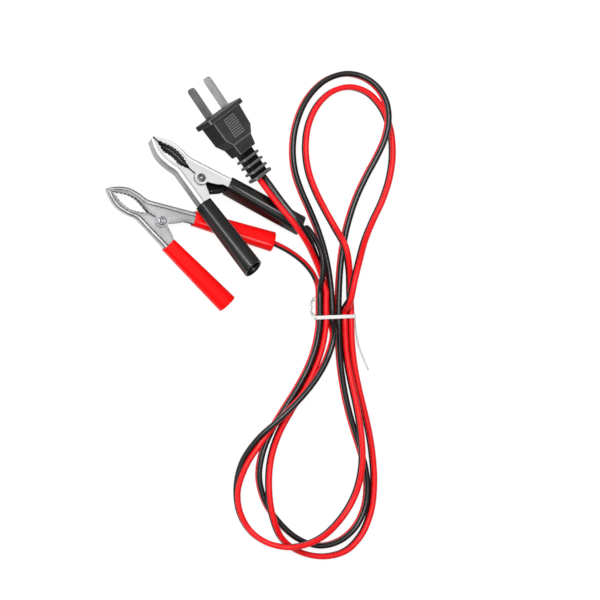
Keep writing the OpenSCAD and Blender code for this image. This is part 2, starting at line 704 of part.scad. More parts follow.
translate([-centre.x, -centre.y, 0]) {
    plug_body();
    plug_pin_holder();
    plug_pin_left();
    plug_pin_right();
    plug_wire_ends();
    red_plug_lead();
    black_plug_lead();
    red_hank();
    black_hank();
    twist_tie();
    red_clip_lead();
    black_clip_lead();
    red_clip_fixed_half();
    red_clip_moving_half();
    red_clip_rivet();
    red_clip_spring();
    red_clip_fixed_sleeve();
    red_clip_moving_sleeve();
    red_clip_wire_crimp();
    red_clip_wire_end();
    black_clip_fixed_half();
    black_clip_moving_half();
    black_clip_rivet();
    black_clip_spring();
    black_clip_fixed_sleeve();
    black_clip_moving_sleeve();
    black_clip_wire_crimp();
    black_clip_wire_end();
}
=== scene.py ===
"""Charging lead for a car battery: a moulded two-pin plug, a red and black twin cord
in a tied hank, and two sleeved crocodile clips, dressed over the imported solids."""
import math

import bmesh
import bpy
from mathutils import Matrix, Vector


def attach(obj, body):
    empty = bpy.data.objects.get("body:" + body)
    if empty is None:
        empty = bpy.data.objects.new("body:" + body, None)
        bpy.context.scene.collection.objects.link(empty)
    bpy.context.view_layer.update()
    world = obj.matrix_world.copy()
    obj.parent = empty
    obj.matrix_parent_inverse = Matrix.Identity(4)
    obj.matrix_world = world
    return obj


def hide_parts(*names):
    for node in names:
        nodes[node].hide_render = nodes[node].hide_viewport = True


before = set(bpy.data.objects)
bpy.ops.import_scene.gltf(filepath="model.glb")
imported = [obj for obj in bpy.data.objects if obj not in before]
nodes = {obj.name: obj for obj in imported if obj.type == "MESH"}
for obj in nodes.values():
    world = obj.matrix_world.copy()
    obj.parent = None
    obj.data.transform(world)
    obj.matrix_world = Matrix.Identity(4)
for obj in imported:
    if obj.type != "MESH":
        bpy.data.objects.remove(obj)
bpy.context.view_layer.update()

# ---- The camera ------------------------------------------------------------
# It stands high over the table and a little to the left, with a long lens.
mm = 0.001
# The middle of the table as the routes below have it, and the point the camera looks at
route_middle = Vector((-54.493, 58.680, 0))
table_middle = (Vector((0, 0, 5)) - route_middle) * mm
camera_lean = math.radians(15)
camera_distance = 1.4
camera_data = bpy.data.cameras.new("Camera")
camera_data.lens = 150
camera = bpy.data.objects.new("Camera", camera_data)
camera.location = table_middle + camera_distance * Vector(
    (-math.sin(camera_lean), 0, math.cos(camera_lean)))
camera.rotation_euler = (0, -camera_lean, 0)
bpy.context.scene.collection.objects.link(camera)
bpy.context.scene.camera = camera

# ---- The twin cord ---------------------------------------------------------
# Two stranded conductors in soft PVC, extruded side by side and joined by a thin web.
# The pair runs from the plug through the tied hank, and splits at the tie into one
# lead for each clip.
cord_r = 1.6
pair_pitch = 3.4
pass_pitch = 3.7
pass_height = 3.4
tied_height = 4.3
tie_at = Vector((20.5, -9.5))
slot_count = 6
tie_fall = 30
level_l = 3.0
turn_room = 0.1
end_l = 8
leg_rings = 8
bend_rings = 4
crowding = 1.25
turning_loop = 2
turn_start = 2.95
turn_l = 0.6
loops = [
    (2, 6, (-19.5, -103), (16.5, -144), (43.5, -104), (0.45, 0.4), (0.45, 0.41),
     (0.66, 0.58), [(1.14, 7.9, 0.55)]),
    (6, 5, (3.5, 86), (29.5, 120), (54.5, 85), (0.6, 0.35), (0.46, 0.4),
     (0.56, 0.56), [(0.28, 9.0, 0.205), (3.81, 12.5, 0.35)]),
    (5, 3, (34.5, -92), (-9, -137.5), (-36, -108), (0.44, 0.4), (0.48, 0.4),
     (0.56, 0.56), [(0.85, 7.6, 0.75), (1.92, 9.1, 0.64), (3.66, 9.2, 0.72)]),
    (3, 4, (-4, 83), (29, 127.5), (49.8, 103), (0.6, 0.3), (0.7, 0.25),
     (0.56, 0.56), [(2.95, 7.5, 0.87)]),
    (4, 1, (39.5, -106), (12, -138), (-23.4, -99), (0.6, 0.25), (0.45, 0.38),
     (0.58, 0.43), [])]


def slot_x(i):
    return tie_at.x + (i - (slot_count + 1) / 2) * pass_pitch


def loop_curves(loop):
    """The four cubic curves of a loop: leg out, two bends, leg back."""
    a, b = Vector((slot_x(loop[0]), tie_at.y)), Vector((slot_x(loop[1]), tie_at.y))
    out, end, back = Vector(loop[2]), Vector(loop[3]), Vector(loop[4])
    up = lambda k: Vector((0, k))
    side = lambda k: Vector((k, 0))
    leg_out, leg_back, square = loop[5], loop[6], loop[7]
    rise_out, rise_back = out.y - a.y, back.y - b.y
    return [
        (a, a + up(leg_out[0] * rise_out), out - up(leg_out[1] * rise_out), out),
        (out, out + up(square[0] * (end.y - out.y)),
         end + side(square[0] * (out.x - end.x)), end),
        (end, end + side(square[1] * (back.x - end.x)),
         back + up(square[1] * (end.y - back.y)), back),
        (back, back - up(leg_back[1] * rise_back), b + up(leg_back[0] * rise_back), b)]


def cubic(p, t):
    return ((1 - t) ** 3 * p[0] + 3 * (1 - t) ** 2 * t * p[1]
            + 3 * (1 - t) * t * t * p[2] + t ** 3 * p[3])


def pass_z(y, lifts, u):
    z = pass_height + (tied_height - pass_height) * max(0, 1 - abs(y - tie_at.y) / tie_fall)
    for place, height, half in lifts:
        t = (u - place) / half
        z += height * (1 - t * t) ** 2 if abs(t) < 1 else 0
    return z


def turned(loop, u):
    """How far the pair has turned over: 0 with red on top, 180 with black on top."""
    if loop != turning_loop:
        return 0 if loop < turning_loop else 180
    t = min(1, max(0, (u - turn_start) / turn_l))
    return 90 * (1 - math.cos(math.pi * t))


def through_tie(i, way, turn):
    return [(Vector((slot_x(i), tie_at.y + k * way * level_l, tied_height)), turn)
            for k in (-1, 1)]


hank = []
for number, loop in enumerate(loops):
    hank += through_tie(loop[0], 1 if loop[2][1] > tie_at.y else -1, turned(number, 0))
    for curve, points in enumerate(loop_curves(loop)):
        n = leg_rings if curve in (0, 3) else bend_rings
        for i in range(1 if curve == 0 else 0, n):
            t = i / n
            t = t ** crowding if curve == 0 else 1 - (1 - t) ** crowding if curve == 3 else t
            p = cubic(points, t)
            hank.append((Vector((p.x, p.y, pass_z(p.y, loop[8], curve + t))),
                         turned(number, curve + t)))
hank += through_tie(loops[-1][1], 1, 180)


def heading(points, i):
    return (points[min(i + 1, len(points) - 1)] - points[max(i - 1, 0)]).normalized()


def right_of(t):
    return Vector((t.y, -t.x, 0)).normalized()


def beside(pair, side):
    """One conductor of the pair: side is 1 for red and -1 for black."""
    route = [p for p, turn in pair]
    found = []
    for i, (p, turn) in enumerate(pair):
        t = heading(route, i)
        right, w = right_of(t), math.radians(turn)
        reach = side * pair_pitch / 2 * (1 + turn_room * math.sin(w) ** 2)
        found.append(p + reach * (math.cos(w) * right.cross(t) + math.sin(w) * right))
    return found


# The plug's place on the table, and where the cord leaves its strain relief
plug_at = Vector((-49.0, 103.5, 12.3))
plug_frame = (Matrix.Translation(plug_at) @ Matrix.Rotation(math.radians(-55), 4, "Z")
              @ Matrix.Rotation(math.radians(-20), 4, "X"))
relief_end = 42.9
socket_l = 6
plug_route = [
    (Vector((-21.3, 63.4, 14.6)), 68), (Vector((-14.8, 53.6, 18.4)), 62),
    (Vector((-7.2, 43.6, 21.4)), 55), (Vector((0.4, 34.0, 18.0)), 50),
    (Vector((7.0, 25.6, 9.4)), 40), (Vector((12.0, 16.0, 4.4)), 22),
    (Vector((14.6, 6.5, 4.3)), 6)]

# The clips' places: each clip's own frame has the rivet's axis as Z, its handles towards
# +X and its fixed half on +Y
nose_l = 34.8
clip_w = 9.0
handle_angle = 16
handle_reach = 9.3


def spin(degrees, axis):
    return Matrix.Rotation(math.radians(degrees), 4, axis)


def shift(x, y, z=0.0):
    return Matrix.Translation((x, y, z))


clip_frames = {
    "red": shift(-79.7, 43.6, 5.5) @ spin(-30, "Z"),
    "black": (shift(-59.7, 64.8, 5.9) @ spin(-42.2, "Z") @ shift(-nose_l, 0) @ spin(-3.6, "Y")
              @ spin(12.7, "Z") @ spin(-24, "X") @ spin(-12.7, "Z") @ shift(nose_l, 0))}


def handle_point(h, s, z=0.0):
    """A point h along a handle from the rivet, and s to the side of the handle's line."""
    c, w = math.cos(math.radians(handle_angle)), math.sin(math.radians(handle_angle))
    return Vector((h * c - s * w, h * w + s * c, z))


fixed_sleeve_start = {"red": 17.6, "black": 16.0}
clip_wire_side = 6.15
wire_ends = {"red": [(17.6, 5.2), (12.4, 4.6)],
             "black": [(16.0, 5.65), (13.46, 1.24), (7.91, -2.89)]}
clip_wire = {
    colour: [handle_point(h, side) for h, side in
             [(66, 3.9), (54, 4.9), (42, clip_wire_side), (30, clip_wire_side),
              (fixed_sleeve_start[colour] + 7, clip_wire_side - 0.1)] + wire_ends[colour]]
    for colour in ("red", "black")}
free_route = {
    "red": [(10.7, 9.0, 2.6), (8.2, 14.5, 3.0), (3.6, 20.0, 3.8), (-3.6, 25.6, 4.8)],
    "black": [(11.3, 9.0, 8.1), (11.9, 14.5, 9.9), (11.8, 20.5, 10.5), (10.4, 27.7, 10.5),
              (6.9, 34.3, 10.9), (1.4, 40.0, 11.6)]}
cord_d = 2 * cord_r


def lengths(points):
    return [(b - a).length for a, b in zip(points, points[1:])]


def smooth_line(points, steps):
    """A smooth curve through points that stand at uneven distances."""
    gaps = lengths(points)
    slopes = [(points[1] - points[0]) / gaps[0]]
    for i in range(1, len(points) - 1):
        before, after = gaps[i - 1], gaps[i]
        slopes.append(((points[i] - points[i - 1]) / before * after
                       + (points[i + 1] - points[i]) / after * before) / (before + after))
    slopes.append((points[-1] - points[-2]) / gaps[-1])
    found = []
    for i, gap in enumerate(gaps):
        a, b, ta, tb = points[i], points[i + 1], slopes[i] * gap, slopes[i + 1] * gap
        for k in range(steps):
            t = k / steps
            found.append((2 * t ** 3 - 3 * t * t + 1) * a + (t ** 3 - 2 * t * t + t) * ta
                         + (3 * t * t - 2 * t ** 3) * b + (t ** 3 - t * t) * tb)
    return found + [points[-1]]


cord_steps = 6
conductors = {}
for colour, side in (("red", 1), ("black", -1)):
    inside, start = [plug_frame @ Vector((relief_end - k, -side * pair_pitch / 2, 0))
                     for k in (socket_l, 0)]
    turns = beside(hank, side)
    first, last = turns[0], turns[-1]
    up = lambda p, k: p + Vector((0, k, 0))
    pair_line = ([inside, start] + beside(plug_route, side)
                 + [up(first, end_l + cord_d), up(first, end_l), up(first, end_l / 2)]
                 + turns + [up(last, end_l / 2), up(last, end_l)])
    lead_line = ([up(last, end_l), up(last, end_l + cord_d)]
                 + [Vector(p) for p in free_route[colour]]
                 + [clip_frames[colour] @ p for p in clip_wire[colour]])
    whole = smooth_line(pair_line + lead_line[1:], cord_steps)
    conductors[colour] = {"line": whole, "paired": (len(pair_line) - 1) * cord_steps + 1}


# The flat strip where the two conductors join, and how many route points past the split it
# takes to end; and the round part of a conductor's section
web_half, web_sink, web_most, web_fade = 0.42, 0.965, 2.1, 2.0
round_start, round_points = 24, 16


def arc(x, y, r, start, end, steps):
    """Points on a circle round (x, y), from one angle to another in degrees."""
    turns = [math.radians(start + (end - start) * k / steps) for k in range(steps + 1)]
    return [(x + r * math.cos(a), y + r * math.sin(a)) for a in turns]


def cord_profile(web, reach):
    """Round the conductor once, with half of the web on its first side."""
    near = cord_r * web_sink * (1 - web) + reach * web
    return [(near, -web_half), (near, web_half)] + arc(
        0, 0, cord_r, round_start, 360 - round_start, round_points - 1)


def new_mesh(name, verts, faces):
    mesh = bpy.data.meshes.new(name)
    mesh.from_pydata([tuple(v) for v in verts], [], faces)
    mesh.validate()
    bm = bmesh.new()
    bm.from_mesh(mesh)
    bmesh.ops.recalc_face_normals(bm, faces=bm.faces)
    bm.to_mesh(mesh)
    bm.free()
    for polygon in mesh.polygons:
        polygon.use_smooth = True
    obj = bpy.data.objects.new(name, mesh)
    bpy.context.scene.collection.objects.link(obj)
    return obj


def mark(obj, attribute, values):
    """A value at each vertex, for the materials to read."""
    obj.data.attributes.new(attribute, "FLOAT", "POINT").data.foreach_set("value", values)


def tube_faces(rings, n, ends="capped"):
    """The faces of a tube of rings, whose ends are capped, open, or joined to each other."""
    faces = [(i * n + k, i * n + (k + 1) % n, (i + 1) * n + (k + 1) % n, (i + 1) * n + k)
             for i in range(rings - 1) for k in range(n)]
    last = (rings - 1) * n
    if ends == "capped":
        faces += [tuple(range(n))[::-1], tuple(range(last, last + n))]
    elif ends == "joined":
        faces += [(last + k, last + (k + 1) % n, (k + 1) % n, k) for k in range(n)]
    return faces


def on_table(p):
    """From the route's own numbers to metres from the middle of the table."""
    return (p - route_middle) * mm


# The red clip's own lead is dark from a little past the split, with a red strip along its
# right side
strip_dir, strip_half, strip_soft = math.radians(52), math.radians(42), math.radians(12)
dark_from = 1.5


def conductor_mesh(colour, partner):
    line, paired = conductors[colour]["line"], conductors[colour]["paired"]
    other = conductors[partner]["line"]
    verts, dark, web_dir = [], [], None
    for i, p in enumerate(line):
        t = heading(line, i)
        if i < paired:
            toward = other[i] - p
            reach, web = min(toward.length / 2, web_most), 1.0
        else:
            toward, web = web_dir, max(0.0, 1 - (i - paired) / (web_fade * cord_steps))
        x = (toward - t * toward.dot(t)).normalized()
        web_dir, y = x, t.cross(x)
        ring = [x * a + y * b for a, b in cord_profile(web, reach)]
        verts += [on_table(p + v) for v in ring]
        strip = right_of(t) * math.sin(strip_dir) + Vector((0, 0, math.cos(strip_dir)))
        far = min(1, max(0, (i - paired) / cord_steps - dark_from))
        dark += [far * min(1, max(0, (v.angle(strip) - strip_half) / strip_soft)) for v in ring]
    obj = new_mesh(colour + "_conductor", verts, tube_faces(len(line), round_points + 2))
    if colour == "red":
        mark(obj, "dark", dark)
    return obj


def add_node(tree, kind, settings=None, values=None, links=None):
    """A node with its settings, and for each input its value or the output that feeds it."""
    node = tree.nodes.new(kind)
    for label, value in (settings or {}).items():
        setattr(node, label, value)
    for socket, value in (values or {}).items():
        node.inputs[socket].default_value = value
    for socket, source in (links or {}).items():
        tree.links.new(source, node.inputs[socket])
    return node


def add_effect(name, inputs, outputs):
    """A node group with a number at each socket, and its two ends."""
    group = bpy.data.node_groups.new(name, "ShaderNodeTree")
    for label, value in inputs:
        group.interface.new_socket(
            name=label, in_out="INPUT", socket_type="NodeSocketFloat").default_value = value
    for label in outputs:
        group.interface.new_socket(name=label, in_out="OUTPUT", socket_type="NodeSocketFloat")
    return group, group.nodes.new("NodeGroupInput"), group.nodes.new("NodeGroupOutput")


def add_noise(group, ends, place, scale, detail, sink):
    """A noise in the group, from the input that sets its scale to one output."""
    noise = add_node(group, "ShaderNodeTexNoise", values={"Detail": detail},
                     links={"Vector": place, "Scale": ends[0].outputs[scale]})
    group.links.new(noise.outputs["Fac"], ends[1].inputs[sink])


# Soft surfaces share one effect: a fine grain, and slow smudges where hands have been
moulded, *ends = add_effect(
    "Moulded surface", [("Grain per metre", 3000.0), ("Smudges per metre", 90.0)],
    ["Grain", "Smudge"])
where = add_node(moulded, "ShaderNodeTexCoord")
add_noise(moulded, ends, where.outputs["Object"], "Grain per metre", 2.0, "Grain")
add_noise(moulded, ends, where.outputs["Object"], "Smudges per metre", 4.0, "Smudge")


def new_material(name):
    material = bpy.data.materials.new(name)
    material.use_nodes = True
    return material, material.node_tree, material.node_tree.nodes["Principled BSDF"]


def colour_mix(tree, factor, a, b):
    """A colour between a and b at the factor, where a may come from another node."""
    mix = add_node(tree, "ShaderNodeMix", {"data_type": "RGBA"}, {"B": (*b, 1)},
                   {"Factor": factor})
    if isinstance(a, tuple):
        mix.inputs["A"].default_value = (*a, 1)
    else:
        tree.links.new(a, mix.inputs["A"])
    return mix.outputs["Result"]


def mixed(tree, mask, a, b, low=0.3, high=0.7):
    """A value or colour that goes from a to b where the mask goes from low to high."""
    spread = add_node(tree, "ShaderNodeMapRange", values={"From Min": low, "From Max": high},
                      links={"Value": mask})
    if isinstance(b, tuple):
        return colour_mix(tree, spread.outputs["Result"], a, b)
    spread.inputs["To Min"].default_value = a
    spread.inputs["To Max"].default_value = b
    return spread.outputs["Result"]


def marked(tree, attribute, base, shade):
    """The base colour, gone over to a shade where a mesh's mark is 1."""
    value = add_node(tree, "ShaderNodeAttribute", {"attribute_name": attribute})
    return colour_mix(tree, value.outputs["Fac"], base, shade)


def effect_material(name, group, numbers, uses, colour, worn_and_shade, rough, strength, depth, marks):
    """A material from an effect. Its uses are the outputs for the bump, the wear of the colour
    and the roughness; the tones at the mesh's marks, most of them painted light and shade,
    go over the colour."""
    material, tree, shader = new_material(name)
    effect = add_node(tree, "ShaderNodeGroup", {"node_tree": group}, numbers)
    height, wear_and_shade, gloss = [effect.outputs[use] for use in uses]
    bump = add_node(tree, "ShaderNodeBump",
                    values={"Strength": strength, "Distance": depth * mm},
                    links={"Height": height})
    tree.links.new(bump.outputs["Normal"], shader.inputs["Normal"])
    base = mixed(tree, wear_and_shade, colour, worn_and_shade)
    for attribute, shade in marks:
        base = marked(tree, attribute, base, shade)
    tree.links.new(base, shader.inputs["Base Color"])
    tree.links.new(mixed(tree, gloss, *rough), shader.inputs["Roughness"])
    return material, shader


def moulded_material(name, colour, worn_and_shade, rough, grain, depth, smudges=90.0, specular=0.5,
                     marks=()):
    material, shader = effect_material(
        name, moulded, {"Grain per metre": grain, "Smudges per metre": smudges},
        ("Grain", "Smudge", "Smudge"), colour, worn_and_shade, rough, 0.5, depth, marks)
    shader.inputs["Specular IOR Level"].default_value = specular
    return material


red_pvc = moulded_material("Red PVC", (0.84, 0.006, 0.01), (0.74, 0.005, 0.008),
                           (0.34, 0.44), 900.0, 0.03, specular=0.25,
                           marks=[("dark", (0.01, 0.01, 0.011))])
black_pvc = moulded_material("Black PVC", (0.005, 0.005, 0.006), (0.009, 0.009, 0.01),
                             (0.24, 0.32), 900.0, 0.03, specular=0.4)

for colour, partner, slot, finish in (("red", "black", "red_pvc", red_pvc),
                                      ("black", "red", "black_pvc", black_pvc)):
    conductor = conductor_mesh(colour, partner)
    conductor.data.materials.append(finish)
    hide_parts(colour + "_plug_lead", colour + "_hank", colour + "_clip_lead")
    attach(conductor, "lead")

# ---- The plug --------------------------------------------------------------
# Dark grey PVC moulded round the pin holder in one shot: a flange, a grip with a field of
# small bars on its two faces, a shoulder, a neck, and a ribbed strain relief.
flange_w, flange_h, flange_t = 26.5, 16.0, 3.0
grip_w, grip_h, grip_end = 21.8, 13.4, 15.2
shoulder_end, neck_w, neck_h, neck_end = 19.4, 14.3, 11.2, 25.9
relief_w, relief_h = 9.2, 6.4
rib_count, rib_pitch, rib_t, rib_w, rib_h = 4, 4.1, 1.5, 12.4, 9.0
corner_steps = 8


def rounded_corners(w, h, r, steps):
    """The four corners of a rounded rectangle, one after the other."""
    return [p for cx, cy, start in ((1, 1, 0), (-1, 1, 90), (-1, -1, 180), (1, -1, 270))
            for p in arc(cx * (w / 2 - r), cy * (h / 2 - r), r, start, start + 90, steps)]


def plug_shell(sections, painted_shade=0.0, side_shade=0.0):
    """A closed shell through sections across the plug's axis: x, w across the pins, h, the
    corners' r, and how light its line is painted, as a highlight; the rounded corners get a
    painted highlight too. Its darker mark is painted shade: the first darkness value lays it
    over the whole shell, the second on the shell's two narrow sides."""
    verts, edges, dark = [], [], []
    for number, (x, w, h, r, line) in enumerate(sections):
        ring = [Vector((x, a, b)) for a, b in rounded_corners(w, h, r, corner_steps)]
        end = number in (0, len(sections) - 1)
        verts += ring
        edges += [0 if end else
                  max(line, math.sin(math.pi * (k % (corner_steps + 1)) / corner_steps) ** 3)
                  for k in range(len(ring))]
        dark += [max(painted_shade, side_shade * math.cos(math.tau * (k - k // (corner_steps + 1))
                                              / (4 * corner_steps)) ** 4)
                 for k in range(len(ring))]
    return verts, tube_faces(len(sections), len(ring)), edges, dark


def plate_sections(x, t, w, h, r, edge, line, band):
    """A plate across the axis whose two rims are broken by an edge, with a painted highlight:
    line along the broken edges, and band over the plate's rim between them.
    """
    found = [(x, w - 2.4 * edge, h - 2.4 * edge, r - edge * 0.6, 0)]
    for near, shrink, light in ((0.02, 2.0, 0), (0.3, 0.6, line), (1.0, 0, max(band, line * 0.4)),
                                (1.6, 0, band)):
        found.append((x + near * edge, w - shrink * edge, h - shrink * edge, r, light))
    return found + [(2 * x + t - a, *rest) for a, *rest in reversed(found)]


def joined(shells):
    """Shells as one: points, faces, and whatever values they have at their points."""
    verts, faces = [], []
    for shell in shells:
        faces += [tuple(k + len(verts) for k in face) for face in shell[1]]
        verts += shell[0]
    return verts, faces, *[sum(values, []) for values in zip(*[shell[2:] for shell in shells])]


edge = 0.35
plateau_fall = 0.0185
shells = [plug_shell(plate_sections(0, flange_t, flange_w, flange_h, 1.4, edge, 0.9, 0),
                     side_shade=0.7)]
shells.append(plug_shell([
    (flange_t - 0.3, grip_w, grip_h, 0.9, 0),
    (flange_t + 0.5, grip_w - 0.06, grip_h, 0.9, 0),
    (grip_end - 0.45, grip_w - 1.5, grip_h - 0.44, 0.9, 0),
    (grip_end, grip_w - 1.62, grip_h - 0.46, 0.9, 0.1),
    (grip_end + 0.45, grip_w - 2.2, grip_h - 0.47, 0.9, 0),
    (shoulder_end - 0.6, neck_w + 1.0, grip_h - 0.58, 0.9, 0),
    (shoulder_end - 0.2, neck_w + 0.5, grip_h - 0.62, 0.9, 1),
    (shoulder_end + 0.2, neck_w + 0.1, neck_h + 0.5, 0.9, 0.4),
    (shoulder_end + 0.6, neck_w, neck_h + 0.3, 0.9, 0),
    (neck_end - 0.45, neck_w - 1.7, neck_h - 0.95, 0.9, 0),
    (neck_end - 0.1, neck_w - 1.9, neck_h - 1.2, 0.9, 0.6),
    (neck_end, neck_w - 2.3, neck_h - 1.8, 0.8, 0)], side_shade=0.85))
# The strain relief's core is painted near black all over, as shade between the ribs
shells.append(plug_shell([(neck_end - 1, relief_w, relief_h, 1.2, 0),
                          (relief_end - 0.6, relief_w, relief_h, 1.2, 0)], painted_shade=1.0))
for i in range(1, rib_count + 1):
    thicker = 0.4 if i == rib_count else 0
    shells.append(plug_shell(plate_sections(
        neck_end + i * rib_pitch - rib_t + 0.6 - thicker, rib_t + thicker,
        rib_w + thicker, rib_h + thicker / 2, 1.6, 0.4, 0.8, 0.3)))

# The field of bars on the two wide faces of the grip, painted lighter up their sides and on their
# tops as a highlight
bar_columns, bar_rows = 5, 9
bar_w, bar_l, bar_h = 1.3, 0.75, 0.28
bar_pitch_w, bar_pitch_l = 1.7, 1.36
field_middle = 10.6
for face in (-1, 1):
    for i in range(bar_columns):
        for j in range(bar_rows):
            y = (i - (bar_columns - 1) / 2) * bar_pitch_w
            x = field_middle + (j - (bar_rows - 1) / 2) * bar_pitch_l
            top = grip_h / 2 - plateau_fall * (x - flange_t)
            verts, edges = [], []
            for level, inset, light in ((-0.2, 0, 0), (bar_h * 0.5, 0, 0.5), (bar_h, 0.16, 0.8)):
                for a, b in ((-1, -1), (1, -1), (1, 1), (-1, 1)):
                    verts.append(Vector((x + a * (bar_l / 2 - inset), y + b * (bar_w / 2 - inset),
                                         face * (top + level))))
                    edges.append(light)
            shells.append((verts, tube_faces(3, 4), edges, [0.0] * len(verts)))

verts, faces, edges, dark = joined(shells)
plug = new_mesh("plug_moulding", [on_table(plug_frame @ v) for v in verts], faces)
mark(plug, "edge", edges)
mark(plug, "painted_shade", dark)
plug.data.set_sharp_from_angle(angle=math.radians(42))
even = plug.modifiers.new("Even shading", "WEIGHTED_NORMAL")
even.keep_sharp = True
# On the plug the light edge marks are painted highlights, and the near-black marks are painted
# shade
plug_pvc = moulded_material("Plug PVC", (0.03, 0.03, 0.031), (0.046, 0.046, 0.047),
                            (0.42, 0.54), 2600.0, 0.06, smudges=140.0, specular=0.12,
                            marks=[("edge", (0.22, 0.22, 0.225)),
                                   ("painted_shade", (0.002, 0.002, 0.002))])
plug.data.materials.append(plug_pvc)
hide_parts("plug_body")
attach(plug, "lead")

# ---- The pins and their holder ---------------------------------------------
# Flat nickel-plated brass pins with rounded tips, stamped from strip so that their long
# edges are broken, set in a hard black holder.
plating, *ends = add_effect(
    "Drawn metal", [("Streaks per metre", 1500.0), ("Stretch", 14.0), ("Stains per metre", 120.0)],
    ["Streak", "Stain"])
where = add_node(plating, "ShaderNodeTexCoord")
squeeze = add_node(plating, "ShaderNodeMath", {"operation": "DIVIDE"}, {0: 1.0},
                   {1: ends[0].outputs["Stretch"]})
scale = add_node(plating, "ShaderNodeCombineXYZ", values={"Y": 1.0, "Z": 1.0},
                 links={"X": squeeze.outputs[0]})
stretched = add_node(plating, "ShaderNodeMapping",
                     links={"Vector": where.outputs["Object"], "Scale": scale.outputs["Vector"]})
add_noise(plating, ends, stretched.outputs["Vector"], "Streaks per metre", 3.0, "Streak")
add_noise(plating, ends, where.outputs["Object"], "Stains per metre", 5.0, "Stain")


def metal_material(name, colour, dull, rough, streaks=1500.0, stretch=14.0, stains=120.0,
                   depth=0.01, marks=(), metallic=1.0):
    material, shader = effect_material(
        name, plating,
        {"Streaks per metre": streaks, "Stretch": stretch, "Stains per metre": stains},
        ("Streak", "Stain", "Streak"), colour, dull, rough, 0.4, depth, marks)
    shader.inputs["Metallic"].default_value = metallic
    return material


# The two pins are one nickel, painted in a darker copy as shade on the left pin and a lighter copy
# as light on the right
pin_finish = {
    "left": metal_material("Shaded pin nickel", (0.17, 0.17, 0.175), (0.09, 0.09, 0.095), (0.26, 0.4)),
    "right": metal_material("Lit pin nickel", (0.42, 0.42, 0.43), (0.3, 0.3, 0.31), (0.24, 0.36))}


def faced(material, direction, shade):
    """Painted light and shade by facing: the material's colour goes over to another tone on the
    faces that look along a direction.
    """
    tree = material.node_tree
    shader = tree.nodes["Principled BSDF"]
    base = shader.inputs["Base Color"].links[0].from_socket
    where = add_node(tree, "ShaderNodeTexCoord")
    look = add_node(tree, "ShaderNodeVectorMath", {"operation": "DOT_PRODUCT"}, {1: direction},
                    {0: where.outputs["Normal"]})
    either_way = add_node(tree, "ShaderNodeMath", {"operation": "ABSOLUTE"},
                          links={0: look.outputs["Value"]})
    tree.links.new(mixed(tree, either_way.outputs[0], base, shade, 0.6, 0.8),
                   shader.inputs["Base Color"])


# The pins' narrow faces are painted lighter, as a highlight
narrow_face = plug_frame.to_3x3() @ Vector((0, 0, 1))
faced(pin_finish["left"], narrow_face, (0.3, 0.3, 0.3))
faced(pin_finish["right"], narrow_face, (0.6, 0.6, 0.6))
# The pins' broken edges are painted near white, as a highlight
edge_highlight_nickel = metal_material("Painted edge highlight", (0.8, 0.8, 0.81), (0.7, 0.7, 0.71), (0.4, 0.5),
                               metallic=0.3)
holder_black = moulded_material("Holder", (0.01, 0.01, 0.01), (0.016, 0.016, 0.016),
                                (0.5, 0.6), 1500.0, 0.03)
copper = metal_material("Tarnished copper", (0.12, 0.07, 0.05), (0.06, 0.04, 0.03), (0.4, 0.55))


def break_edges(obj, width, segments, angle):
    bevel = obj.modifiers.new("Broken edges", "BEVEL")
    bevel.width = width * mm
    bevel.segments = segments
    bevel.limit_method = "ANGLE"
    bevel.angle_limit = math.radians(angle)
    return bevel


def finish_node(name, material, broken_edge=0.0, rim=None):
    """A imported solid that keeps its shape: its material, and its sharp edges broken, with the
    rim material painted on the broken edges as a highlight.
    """
    obj = nodes[name]
    obj.data.materials.clear()
    obj.data.materials.append(material)
    if broken_edge:
        obj.data.materials.append(rim)
        weld = obj.modifiers.new("Weld", "WELD")
        weld.merge_threshold = 1e-6
        bevel = break_edges(obj, broken_edge, 3, 35)
        bevel.harden_normals = True
        bevel.material = 1


for side in ("left", "right"):
    finish_node("plug_pin_" + side, pin_finish[side], 0.4, edge_highlight_nickel)
finish_node("plug_pin_holder", holder_black)
finish_node("plug_wire_ends", copper)

# ---- The clips' two halves -------------------------------------------------
# Each half is stamped from thin steel and folded along its outer edge into a channel; the
# narrower moving half turns inside the fixed one. The jaws part in a toothed lens.
steel_t = 0.8
half_gap = 0.3
jaw_h = 6.8
lens_h = 3.5
bite_gap = 0.15
tooth_h = 0.5
tooth_count = 11
handle_w = 6.5
handle_l = 45
ear_r = 3.9
shoulder_x = -13
fixed_w = clip_w
moving_w = clip_w - 2 * steel_t - 2 * half_gap
lens_start, lens_end = -8.5, -nose_l + 3.4
root = handle_point(0, handle_reach)
shoulder_h = root.y + (shoulder_x - root.x) * math.tan(math.radians(handle_angle))
outer_corners = [Vector(p) for p in (
    (-nose_l, bite_gap, 0), (-nose_l, 0.9, 0), (-nose_l + 5.4, jaw_h - 2, 0),
    (-nose_l + 10.6, jaw_h, 0), (shoulder_x - 4.4, jaw_h, 0), (shoulder_x, shoulder_h, 0))]
outer_corners.append(handle_point(handle_l, handle_reach))


def rounded_path(corners, radius, steps):
    """The corners joined by straight lines, each corner cut back and rounded."""
    found = [corners[0]]
    for a, b, c in zip(corners, corners[1:], corners[2:]):
        cut = min(radius, (b - a).length * 0.48, (c - b).length * 0.48)
        p, q = b + (a - b).normalized() * cut, b + (c - b).normalized() * cut
        for k in range(steps + 1):
            t = k / steps
            found.append((1 - t) ** 2 * p + 2 * t * (1 - t) * b + t * t * q)
    return found + [corners[-1]]


def along_path(points, share):
    """The point at a share of the path's length."""
    gaps = lengths(points)
    left = share * sum(gaps)
    for i, gap in enumerate(gaps):
        if left <= gap or i == len(gaps) - 1:
            return points[i].lerp(points[i + 1], min(1, left / gap) if gap else 0)
        left -= gap


def share_at(points, test):
    """The share of the path's length at which test(point) grows past 0."""
    gaps = lengths(points)
    total, run = sum(gaps), 0.0
    for i, gap in enumerate(gaps):
        a, b = test(points[i]), test(points[i + 1])
        if a <= 0 < b:
            return (run + gap * (-a) / (b - a)) / total
        run += gap
    return 1.0


